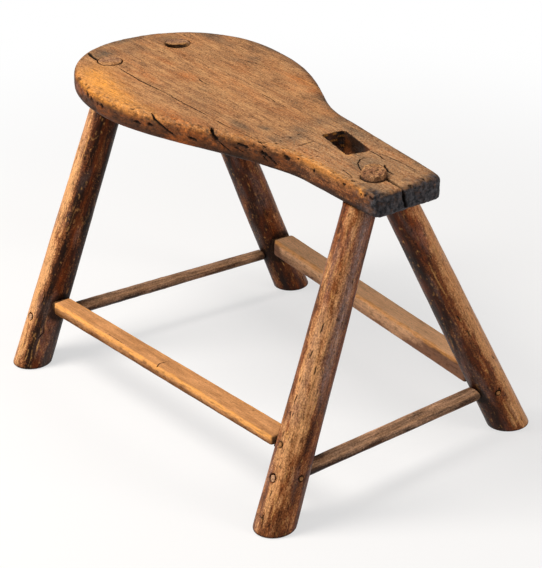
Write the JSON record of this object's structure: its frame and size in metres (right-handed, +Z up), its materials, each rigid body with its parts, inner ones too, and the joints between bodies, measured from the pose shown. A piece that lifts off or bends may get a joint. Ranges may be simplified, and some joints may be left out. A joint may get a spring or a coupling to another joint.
{
  "type": "saddlers stool",
  "caption": "Saddler's stool: a thick spoon-shaped plank with a mortise in its neck for a stitching clamp, on splayed round legs tied low down by pegged stretchers.",
  "frame": {"origin": "on the floor, under the middle of the stool's overall box", "axes": "+Z up; +X forward along the seat, from its wide end to its neck; +Y to the left of a rider who sits astride the wide end and faces the neck"},
  "size_m": [0.6857, 0.5228, 0.4495],
  "materials": {
    "seat_wood": "bare hardwood plank, polished by use, worn and stained",
    "leg_wood": "bare round legs with the under-bark surface left on, smooth and waxy",
    "leg_wood_dark": "bare round leg, dark brown, smooth and waxy",
    "golden_stretcher_wood": "bare sawn hardwood, golden, edges rubbed bright",
    "tan_stretcher_wood": "bare sawn hardwood, tan on top, darker on its sides",
    "rod_wood": "bare hewn rods, grey-brown",
    "peg_wood": "whittled pegs, end grain showing"
  },
  "bodies": {
    "root": {"seat_plank": "seat_wood", "leg_rear_left": "leg_wood_dark", "leg_rear_right": "leg_wood", "leg_front_left": "leg_wood", "leg_front_right": "leg_wood", "side_stretcher_left": "tan_stretcher_wood", "side_stretcher_right": "golden_stretcher_wood", "cross_stretcher_rear": "rod_wood", "cross_stretcher_front": "rod_wood", "peg_side_left_rear": "peg_wood", "peg_side_left_front": "peg_wood", "peg_side_right_front": "peg_wood", "peg_cross_rear_right": "peg_wood", "peg_cross_rear_left": "peg_wood", "peg_cross_front_right": "peg_wood", "peg_cross_front_left": "peg_wood"}
  },
  "joints": []
}
